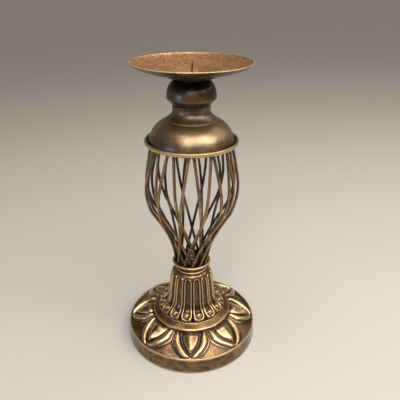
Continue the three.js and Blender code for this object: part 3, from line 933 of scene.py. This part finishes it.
# ---- Wire cage ----
def spline_point(knots, along):
    """A point on the smooth curve through the knots, and its direction."""
    last = len(knots) - 1
    index = min(int(along * last), last - 1)
    on = along * last - index
    before, start, end, after = (knots[min(max(index + step, 0), last)] for step in (-1, 0, 1, 2))
    leave, arrive = (end - before) / 2, (after - start) / 2
    cubic = 2 * start - 2 * end + leave + arrive
    square = 3 * end - 3 * start - 2 * leave - arrive
    point = ((cubic * on + square) * on + leave) * on + start
    return point, ((3 * cubic * on + 2 * square) * on + leave).normalized()


def cage_knots(sizes, height):
    """The outline over the outer wires, from the top plate down to the cup."""
    shoulder = sizes.belly_radius - sizes.top_radius
    swell = sizes.belly_radius - sizes.foot_radius
    shares = [
        (0.0, sizes.top_radius),
        (0.148, sizes.top_radius + shoulder * 0.575),
        (0.318, sizes.belly_radius),
        (0.49, sizes.foot_radius + swell * 0.862),
        (0.65, sizes.foot_radius + swell * 0.475),
        (0.83, sizes.foot_radius + swell * 0.133),
        (1.0, sizes.foot_radius),
    ]
    return [Vector((radius, height * (1 - down))) for down, radius in shares]


def wire_path(sizes, floor, depth, start, twist):
    """A wire's middle line, depth below the cage's outline. It turns the faster the nearer it is
    to the axis, as a straight wire does that is wound on this form."""
    samples = 150
    height = extent("cage_top_plate").low - floor
    knots = cage_knots(sizes, height)
    stations = []
    for index in range(samples + 1):
        point, run = spline_point(knots, index / samples)
        stations.append((point.x + run.y * depth, point.y - run.x * depth))
    winding = [0.0]
    for (radius, level), (last_radius, last_level) in zip(stations[1:], stations):
        step = math.hypot(radius - last_radius, level - last_level)
        winding.append(winding[-1] + step / radius**2)
    return [
        on_stand(radius, start + twist * wound / winding[-1], floor + min(max(level, 0.0), height))
        for (radius, level), wound in zip(stations, winding)
    ]


def cage_wire(sizes, floor, depth, start, twist):
    """One wire, with a small weld at each end."""
    path = wire_path(sizes, floor, depth, start, twist)
    to_ends = [min((point - path[0]).length, (point - path[-1]).length) for point in path]
    welds = [0.3 * math.exp(-((to_end / sizes.weld_length) ** 2)) for to_end in to_ends]
    return swept_rod(path, [sizes.wire_radius * (1 + weld) for weld in welds], 12)


# ---- Top plate, bell and knob ----
def cage_top_plate(sizes, bore):
    """The saucer that carries the wires, with an upturned edge round the bell."""
    low, high, radius = extent("cage_top_plate")
    floor_radius = radius - sizes.lip_width
    floor = low + sizes.thickness
    edge = sizes.lip_edge / 2
    edge_height = high - edge
    inner = radius - 2 * edge
    outside = [
        (floor_radius, low),
        (radius - 0.9 * MM, low),
        (radius, low + 1 * MM),
        (radius, edge_height),
    ]
    inside = [
        (inner, edge_height),
        (inner, floor + 0.6 * MM),
        (radius - 3 * MM, floor),
        (floor_radius, floor),
    ]
    outline = [
        (bore, low),
        *curve(outside, 10),
        *arc((radius - edge, edge_height), edge, edge, 15, 180, 10),
        *bend(*inside, 8),
        (bore, floor),
    ]
    return turned(outline, 192, 0.3 * MM)


def bell_shoulder(sizes, bore):
    """The bell with its small step and its waisted neck, spun from one sheet."""
    low, high, radius = extent("bell_shoulder")
    throat = low + sizes.dome_height
    half_step = sizes.step_height / 2
    neck_foot = throat + sizes.neck_rise
    neck_height = high - neck_foot
    middle = sizes.throat_radius + (radius - sizes.throat_radius) / 2
    waist, shell = sizes.neck_radius, sizes.wall
    dome = [
        (radius, low),
        (radius - 2 * MM, low + sizes.dome_height * 0.55),
        (middle, low + sizes.dome_height * 0.85),
        (sizes.throat_radius, throat),
    ]
    inner_dome = [(x - shell, y - shell) for x, y in dome[:0:-1]] + [(radius - shell, low)]
    neck = [
        (sizes.throat_radius - sizes.step_width, throat + sizes.step_height),
        (waist + 3.2 * MM, throat + sizes.step_height + neck_height * 0.14),
        (waist + 0.1 * MM, neck_foot + neck_height * 0.34),
        (waist, neck_foot + neck_height * 0.62),
    ]
    step_middle = (sizes.throat_radius - 0.2 * MM, throat + half_step)
    outline = [
        *curve(dome, 36),
        *arc(step_middle, sizes.step_width, half_step, -50, 80, 8),
        *curve(neck, 20),
        (sizes.neck_top_radius, high),
        (bore, high),
        (bore, high - sizes.top_wall),
        (waist - shell, high - sizes.top_wall),
        (waist - shell, neck_foot + neck_height * 0.4),
        *curve(inner_dome, 20),
    ]
    return turned(outline, 192, 0.5 * MM)


def knob(sizes, bore):
    """The hollow knob: a low ball with a sharp lower edge over a coned underside."""
    low, high, radius = extent("knob")
    height = high - low
    edge = low + sizes.edge_height
    wall, rim = sizes.wall, sizes.foot_radius
    ball = [
        (radius, edge + 0.5 * MM),
        (radius - 0.25 * MM, edge + 0.32 * height),
        (sizes.top_radius + 4.6 * MM, high - 0.12 * height),
        (sizes.top_radius, high),
    ]
    outline = [
        (bore, high - sizes.boss_height),
        (sizes.top_radius - 2 * wall, high - sizes.boss_height),
        (radius - wall, low + 0.62 * height),
        (radius - wall, edge + 1 * MM),
        (rim - wall / 2, low + wall),
        (rim - 4 * wall, low + wall),
        (rim - 4 * wall, low),
        (rim, low),
        (radius, edge - 0.3 * MM),
        *curve(ball, 30),
        (bore, high),
    ]
    return turned(outline, 160, 0.45 * MM)


# ---- Dish and spike ----
def drip_pan(sizes):
    """The shallow spun dish with a thin rolled edge."""
    low, high, radius = extent("drip_pan")
    roll, wall, flat = sizes.roll_radius, sizes.wall, sizes.floor_radius
    rim_radius, rim_height = radius - roll, high - roll
    depth, span = rim_height - low, rim_radius - flat
    hole = sizes.spike_radius + 0.15 * MM
    underside = [
        (flat, low),
        (flat + span * 0.38, low + depth * 0.4),
        (flat + span * 0.78, low + depth * 0.56),
        (rim_radius + roll * 0.2, rim_height - roll),
    ]
    inside = [
        (rim_radius - roll, rim_height - 0.2 * roll),
        (flat + span * 0.76, low + depth * 0.56 + wall),
        (flat + span * 0.36, low + depth * 0.4 + wall),
        (flat - 0.5 * MM, low + wall),
    ]
    outline = [
        (hole, low),
        *curve(underside, 34),
        *arc((rim_radius, rim_height), roll, roll, -70, 170, 14),
        *bend(*inside, 36),
        (hole, low + wall),
    ]
    return turned(outline, 224, 0.3 * MM)


def pricket_spike(sizes):
    """The short pointed spike on its flat head. It is a little bent."""
    low, high, head_radius = extent("pricket_spike")
    dish_floor = extent("drip_pan").low
    head_top = dish_floor - 0.3 * MM
    radius, point = sizes.spike_radius, sizes.spike_point
    outline = [
        (0.0, low),
        (head_radius, low),
        (head_radius, head_top),
        (radius, head_top),
        (radius, head_top + 3 * MM),
        (radius * 0.86, high - point * 1.6),
        (radius * 0.5, high - point * 0.5),
        (0.0, high),
    ]
    bm = turned(outline, 40, 0.25 * MM)
    for vertex in bm.verts:
        above = max(0.0, vertex.co.z - dish_floor - sizes.wall)
        bent = sizes.spike_lean * min(1.0, above / (8 * MM))
        vertex.co.x += above * math.sin(bent)
        vertex.co.z -= above * (1 - math.cos(bent))
    return bm


# ---- Felt, studs, nuts and washers ----
def felt_pad():
    """The felt disc let into the underside."""
    low, high, radius = extent("felt_pad")
    outline = divided([(0.0, low), (radius, low), (radius, high), (0.0, high)], 6 * MM)
    return turned(outline, 128, 0.4 * MM)


def fixing_bore(sizes):
    """The radius of the hole that a stud passes through."""
    return sizes.stud_radius + sizes.clearance


def threaded_stud(sizes, node):
    """A stud with a helical thread on both ends."""
    low, high, _ = extent(node)
    radius, pitch, threaded = sizes.stud_radius, sizes.thread_pitch, sizes.thread_length
    rows = round(8 * threaded / pitch)
    outline = [
        *softened([(0.0, low), (radius, low), (radius, low + 1 * MM)], 0.5 * MM),
        *stretch((radius, low + 1 * MM), (radius, low + threaded), rows),
        *stretch((radius, high - threaded), (radius, high - 1 * MM), rows),
        *softened([(radius, high - 0.9 * MM), (radius, high), (0.0, high)], 0.5 * MM),
    ]
    bm = turned(outline, 24)

    def thread(distance, angle, height):
        from_end = min(height - low, high - height)
        wave = abs((height / pitch + angle / math.tau) % 1.0 - 0.5) * 2
        cut = 0.3 * pitch * wave * (0.4 * MM < from_end < threaded)
        return distance - cut * (distance > radius * 0.98), angle, height

    reshape(bm, thread)
    return bm


def hex_nut(sizes, node):
    """A hexagon nut with chamfered corners."""
    low, high, _ = extent(node)
    flat = sizes.across_flats / 2
    face, side, bevel = flat * 0.95, flat * 1.01, 0.3 * MM
    bore = sizes.stud_radius + 0.3 * MM
    lower = [(bore, low), (face, low), (side, low + bevel)]
    upper = [(side, high - bevel), (face, high), (bore, high)]
    bm = turned(lower + upper, 72, 0.25 * MM)
    chamfer = math.tan(math.radians(30))
    middle = (low + high) / 2

    def hexagon(distance, angle, height):
        if distance < face * 1.02:
            return distance, angle, height
        corner = flat / math.cos(from_middle(angle, math.pi / 3))
        drop = (corner - flat) * chamfer * (height - middle) / (high - middle)
        return corner, angle, height - drop

    reshape(bm, hexagon)
    return bm


def flat_washer(sizes, node):
    """A plain washer with broken edges."""
    low, high, radius = extent(node)
    bore = fixing_bore(sizes)
    return turned([(bore, low), (radius, low), (radius, high), (bore, high)], 64, 0.25 * MM)


# ---- Stage ----
def studio_bowl(radius):
    """A floor that turns up into a round backdrop."""
    rise = radius * 0.45
    sweep = [(radius * 0.25, 0.0), (radius * 0.9, 0.0), (radius, rise * 0.2), (radius, rise)]
    bm = turned([(0.0, 0.0), *curve(sweep, 24)], 96)
    bmesh.ops.reverse_faces(bm, faces=[face for face in bm.faces if face.normal.z < 0])
    return bm


def add_lamp(name, azimuth, elevation, distance, size, power, tint, fan=180):
    """A soft rectangular lamp that looks at the stand's middle. Azimuth 0 is the front, 90 the
    right, and fan is the angle that its light spreads over."""
    middle = Vector((0, 0, 0.15))
    light = bpy.data.lights.new(name, "AREA")
    light.shape = "RECTANGLE"
    light.size, light.size_y = size
    light.energy = power
    light.color = tint
    light.spread = math.radians(fan)
    lamp = add_object(name, light)
    raised = math.radians(elevation)
    away = on_stand(math.cos(raised), math.radians(azimuth), math.sin(raised))
    lamp.location = middle + away * distance
    lamp.rotation_euler = away.to_track_quat("Z", "Y").to_euler()


def add_camera(stage):
    """The camera where the photo was taken from."""
    data = bpy.data.cameras.new("camera")
    data.sensor_width = 36.0
    data.lens = stage.focal_length / stage.photo_side * data.sensor_width
    data.shift_x = (stage.photo_side / 2 - stage.axis_column) / stage.photo_side
    data.clip_start, data.clip_end = 0.01, 50.0
    camera = add_object("camera", data)
    camera.location = (0.0, -stage.camera_distance, stage.camera_height)
    camera.rotation_euler = (math.pi / 2 - stage.camera_tilt, 0.0, 0.0)
    bpy.context.scene.camera = camera


def add_sky(strength):
    """Even light from all around."""
    world = bpy.context.scene.world or bpy.data.worlds.new("sky")
    bpy.context.scene.world = world
    world.use_nodes = True
    background = world.node_tree.nodes["Background"].inputs
    background["Color"].default_value = (1.0, 0.91, 0.79, 1.0)
    background["Strength"].default_value = strength


# ---- Operators ----
DEEP_WAX = {"Wax Start": 0.46, "Wax Width": 0.3, "Wax Most": 0.92}
UNRUBBED = {"Gold Start": 1.2, "Wax Start": -0.2}


class StandOperator:
    """What the operators share"""

    bl_options = {"REGISTER", "UNDO"}

    def execute(self, context):
        """Builds the operator's pieces from the scene's settings."""
        self.build(context.scene.candle_stand, context.scene.candle_stand.finishes)
        return {"FINISHED"}


class STAND_OT_lotus_base(StandOperator, bpy.types.Operator):
    """Build the round base with its petals"""

    bl_idname = "candle_stand.lotus_base"
    bl_label = "Lotus Base"

    def build(self, settings, finishes):
        cast = {"roughness": 0.32, "coat": 0.6, "lumps": 0.6, "pores": 0.2}
        metal = aged_metal("base_brass", finishes, "base", 11, speckles=0.35, rubbing=DEEP_WAX, **cast)
        bm = lotus_base(settings.base, fixing_bore(settings.fixings))
        shade = base_shade(settings.base)
        add_piece("petal_base", bm, metal, "lotus_base", shade, 30, 0.34 * MM)


class STAND_OT_felt_pad(StandOperator, bpy.types.Operator):
    """Build the felt under the base"""

    bl_idname = "candle_stand.felt_pad"
    bl_label = "Felt Pad"

    def build(self, settings, finishes):
        felt = matted_felt("base_felt", finishes.felt)
        add_piece("felt_disc", felt_pad(), felt, "felt_pad")


class STAND_OT_pedestal(StandOperator, bpy.types.Operator):
    """Build the fluted pedestal"""

    bl_idname = "candle_stand.pedestal"
    bl_label = "Fluted Pedestal"

    def build(self, settings, finishes):
        cast = {"roughness": 0.32, "coat": 0.6, "lumps": 0.4, "pores": 0.15}
        metal = aged_metal("pedestal_brass", finishes, "base", 9, speckles=0.2, rubbing=DEEP_WAX, **cast)
        bm = fluted_pedestal(settings.pedestal, fixing_bore(settings.fixings))
        shade = pedestal_shade(settings.pedestal)
        add_piece("fluted_column", bm, metal, "fluted_pedestal", shade, 24, 0.26 * MM)


class STAND_OT_cup(StandOperator, bpy.types.Operator):
    """Build the collar and the cup that gathers the wires"""

    bl_idname = "candle_stand.cup"
    bl_label = "Collar and Cup"

    def build(self, settings, finishes):
        metal = aged_metal("cup_brass", finishes, "base", 8, rubbing={"Gold Start": 0.5})
        bore = fixing_bore(settings.fixings)
        edge = extent("pedestal_collar").reach - 0.7 * MM
        lip = extent("cage_cup").high - settings.cup.lip

        collar, cup = pedestal_collar(settings.cup, bore), cage_cup(settings.cup, bore)
        # Painted shade on the collar's faces between the pedestal and the cup, and on the cup under its
        # lip.
        collar_painted_shade = painted_shade_band(0.75, "radius", edge, edge - 0.5 * MM)
        cup_painted_shade = painted_shade_band(0.75, "height", lip + 0.9 * MM, lip - 0.2 * MM)
        add_piece("collar_ring", collar, metal, "pedestal_collar", collar_painted_shade)
        add_piece("wire_cup", cup, metal, "cage_cup", cup_painted_shade)


class STAND_OT_cage(StandOperator, bpy.types.Operator):
    """Build the two layers of twisted wires"""

    bl_idname = "candle_stand.cage"
    bl_label = "Wire Cage"

    def build(self, settings, finishes):
        sizes = settings.cage
        metal = aged_metal("wire_brass", finishes, "wire", 12, speckles=0.1, rubbing=UNRUBBED)
        floor = extent("cage_cup").low + settings.cup.floor
        plate = extent("cage_top_plate").low

        def wire_shade(at):
            # Painted shade under the saucer, where the wires go down into the cup, and on each wire's
            # inward side; the wires are also darker towards the cup.
            at_plate = 0.6 * ease(plate - 8 * MM, plate - 1 * MM, at.height)
            at_cup = 0.35 * ease(floor + 45 * MM, floor + 12 * MM, at.height)
            at_cup += 0.35 * ease(floor + 9 * MM, floor + 1 * MM, at.height)
            return np.maximum(at_plate + at_cup, 0.9 * ease(0.45, -0.2, at.outward))

        half_pair = sizes.pair_spacing / 2 / (sizes.top_radius - sizes.outer_depth)
        inner_depth = sizes.outer_depth + sizes.layer_spacing
        for letter, depth, sense in (("a", sizes.outer_depth, -1), ("b", inner_depth, 1)):
            for number in range(sizes.wires):
                start = math.tau * number / sizes.wires + sense * half_pair
                bm = cage_wire(sizes, floor, depth, start, sense * sizes.twist)
                wire = f"wire_{letter}_{number + 1:02d}"
                add_piece(wire, bm, metal, f"cage_{wire}", wire_shade)


class STAND_OT_bell(StandOperator, bpy.types.Operator):
    """Build the saucer with its upturned edge, and the bell in it"""

    bl_idname = "candle_stand.bell"
    bl_label = "Top Plate and Bell"

    def build(self, settings, finishes):
        spun = {"grain_share": 0.4, "speckles": 0.4, "roughness": 0.43, "coat": 0.6}
        rubbing = {"Gold Start": 0.75, "Wax Start": 0.3}
        metal = aged_metal("bell_brass", finishes, "bell", 16, rubbing=rubbing, **spun)
        bore = fixing_bore(settings.fixings)
        lip = extent("cage_top_plate").reach - settings.plate.lip_edge
        # Painted shade inside the saucer's upturned edge, in the gap round the bell.
        saucer_painted_shade = painted_shade_band(0.8, "radius", lip, lip - 0.6 * MM)
        saucer = cage_top_plate(settings.plate, bore)
        add_piece("saucer", saucer, metal, "cage_top_plate", saucer_painted_shade)
        low, neck_top, _ = extent("bell_shoulder")
        throat = low + settings.bell.dome_height
        throat_radius = settings.bell.throat_radius

        def bell_shade(at):
            # Painted shade under the small step, over the lower dome, over the whole neck and at the
            # neck's top under the knob.
            below_step = 0.35 * ease(throat_radius + 3 * MM, throat_radius + 0.6 * MM, at.radius)
            low_down = 0.6 * ease(throat - 9 * MM, throat - 15 * MM, at.height)
            on_neck = 0.62 * ease(throat, throat + 3 * MM, at.height)
            at_top = 0.4 * ease(neck_top - 5.5 * MM, neck_top - 3 * MM, at.height)
            return below_step * (at.height < throat + 0.1 * MM) + low_down + on_neck + at_top

        bell = bell_shoulder(settings.bell, bore)
        add_piece("bell", bell, metal, "bell_shoulder", bell_shade)


class STAND_OT_knob(StandOperator, bpy.types.Operator):
    """Build the knob under the dish"""

    bl_idname = "candle_stand.knob"
    bl_label = "Knob"

    def build(self, settings, finishes):
        worn = {"rubbing": {"Gold Start": 0.9, "Wax Start": 0.2}, "roughness": 0.44, "coat": 0.35}
        metal = aged_metal("knob_bronze", finishes, "knob", 14, speckles=0.1, **worn)
        edge = extent("knob").low + settings.knob.edge_height

        def knob_shade(at):
            # Painted dark reflection of the dish's underside on the knob's upper half, and painted shade
            # on its coned underside.
            upper = 0.9 * ease(edge + 3.5 * MM, edge + 11 * MM, at.height)
            return upper + 0.4 * ease(edge, edge - 2 * MM, at.height)

        bm = knob(settings.knob, fixing_bore(settings.fixings))
        add_piece("dark_knob", bm, metal, "knob", knob_shade)


class STAND_OT_dish(StandOperator, bpy.types.Operator):
    """Build the dish and its spike"""

    bl_idname = "candle_stand.dish"
    bl_label = "Dish and Spike"

    def build(self, settings, finishes):
        paint = {"grain": 1.8, "grain_share": 0.75, "speckles": 0.35}
        paint |= {"rubbing": {"Gold Start": 0.6, "Wax Start": 0.1}}
        paint |= {"roughness": 0.48, "metallic": 0.6, "coat": 0.2}
        copper = aged_metal("dish_copper", finishes, "dish", 14, **paint)
        junction = settings.dish.floor_radius

        def dish_shade(at):
            # Painted shade on the dish's underside, deeper near the knob as the knob's painted dark
            # reflection, and painted shade on the right side of the inside.
            near_knob = 0.2 * ease(junction + 16 * MM, junction + 8 * MM, at.radius)
            browner = 0.13 * ease(-0.6, 1.0, np.sin(at.angle)) * (at.upward > 0)
            return (0.92 + near_knob) * ease(-0.1, -0.4, at.upward) + browner

        add_piece("dish", drip_pan(settings.dish), copper, "drip_pan", dish_shade)
        bronze = aged_metal("spike_bronze", finishes, "knob", 4, rubbing=UNRUBBED)
        add_piece("spike", pricket_spike(settings.dish), bronze, "pricket_spike")


class STAND_OT_fixings(StandOperator, bpy.types.Operator):
    """Build the studs, nuts and washers that hold the stand together"""

    bl_idname = "candle_stand.fixings"
    bl_label = "Studs, Nuts and Washers"

    def build(self, settings, finishes):
        metal = aged_metal("plated_steel", finishes, "steel", 5, roughness=0.38)
        makers = {"stud": threaded_stud, "nut": hex_nut, "washer": flat_washer}
        nodes = ["upper_stud", "lower_stud"]
        nodes += [f"{place}_{kind}" for place in ("upper", "cup", "base") for kind in ("nut", "washer")]
        for node in nodes:
            place, kind = node.split("_")
            add_piece(f"{kind}_{place}", makers[kind](settings.fixings, node), metal, node)


class STAND_OT_stage(StandOperator, bpy.types.Operator):
    """Set up the camera, the floor and the soft studio lamps"""

    bl_idname = "candle_stand.stage"
    bl_label = "Stage"

    def build(self, settings, finishes):
        stage = settings.stage
        matt = {"Base_Color": opaque(stage.floor_colour), "Roughness": 0.9, "Specular_IOR_Level": 0.1}
        paper = new_material("pale_paper", **matt)[0]
        bowl = smooth_mesh("studio_floor", studio_bowl(stage.floor_radius), paper)
        floor = add_object("studio_floor", bowl)
        add_lamp("key_lamp", 27, 47, 1.1, (1.9, 0.55), 18.0, (1.0, 0.98, 0.95))
        add_lamp("ceiling_lamp", 20, 80, 1.2, (1.2, 1.0), 12.5, (1.0, 0.97, 0.92))
        add_lamp("window_lamp", -55, 8, 1.2, (0.50, 0.34), 0.32, (0.42, 0.52, 1.0), fan=60)
        add_lamp("right_fill", 105, 42, 1.3, (1.0, 1.0), 4.0, (1.0, 0.93, 0.82))
        add_sky(stage.sky_strength)
        add_camera(stage)
        bpy.context.scene.view_settings.view_transform = "Standard"


OPERATORS = [
    STAND_OT_stage,
    STAND_OT_felt_pad,
    STAND_OT_lotus_base,
    STAND_OT_pedestal,
    STAND_OT_cup,
    STAND_OT_cage,
    STAND_OT_bell,
    STAND_OT_knob,
    STAND_OT_dish,
    STAND_OT_fixings,
]


class STAND_PT_panel(bpy.types.Panel):
    """Lists the stand's parts and its settings"""

    bl_idname = "STAND_PT_panel"
    bl_label = "Candle Stand"
    bl_space_type = "VIEW_3D"
    bl_region_type = "UI"
    bl_category = "Candle Stand"

    def draw(self, context):
        """Shows a button for each part, and the sizes and colours below."""
        for operator in OPERATORS:
            self.layout.operator(operator.bl_idname)
        for name, group in GROUPS.items():
            box = self.layout.box()
            box.label(text=group.__doc__)
            for item in group.__annotations__:
                box.prop(getattr(context.scene.candle_stand, name), item)


CLASSES = [*GROUPS.values(), StandSettings, *OPERATORS, STAND_PT_panel]


def register():
    """Adds the classes and the scene's settings."""
    for item in CLASSES:
        bpy.utils.register_class(item)
    bpy.types.Scene.candle_stand = bpy.props.PointerProperty(type=StandSettings)


def unregister():
    """Takes them away again."""
    del bpy.types.Scene.candle_stand
    for item in reversed(CLASSES):
        bpy.utils.unregister_class(item)


def main():
    register()
    bpy.ops.candle_stand.stage()
    bpy.ops.candle_stand.felt_pad()
    bpy.ops.candle_stand.lotus_base()
    bpy.ops.candle_stand.pedestal()
    bpy.ops.candle_stand.cup()
    bpy.ops.candle_stand.cage()
    bpy.ops.candle_stand.bell()
    bpy.ops.candle_stand.knob()
    bpy.ops.candle_stand.dish()
    bpy.ops.candle_stand.fixings()


if __name__ == "__main__":
    main()
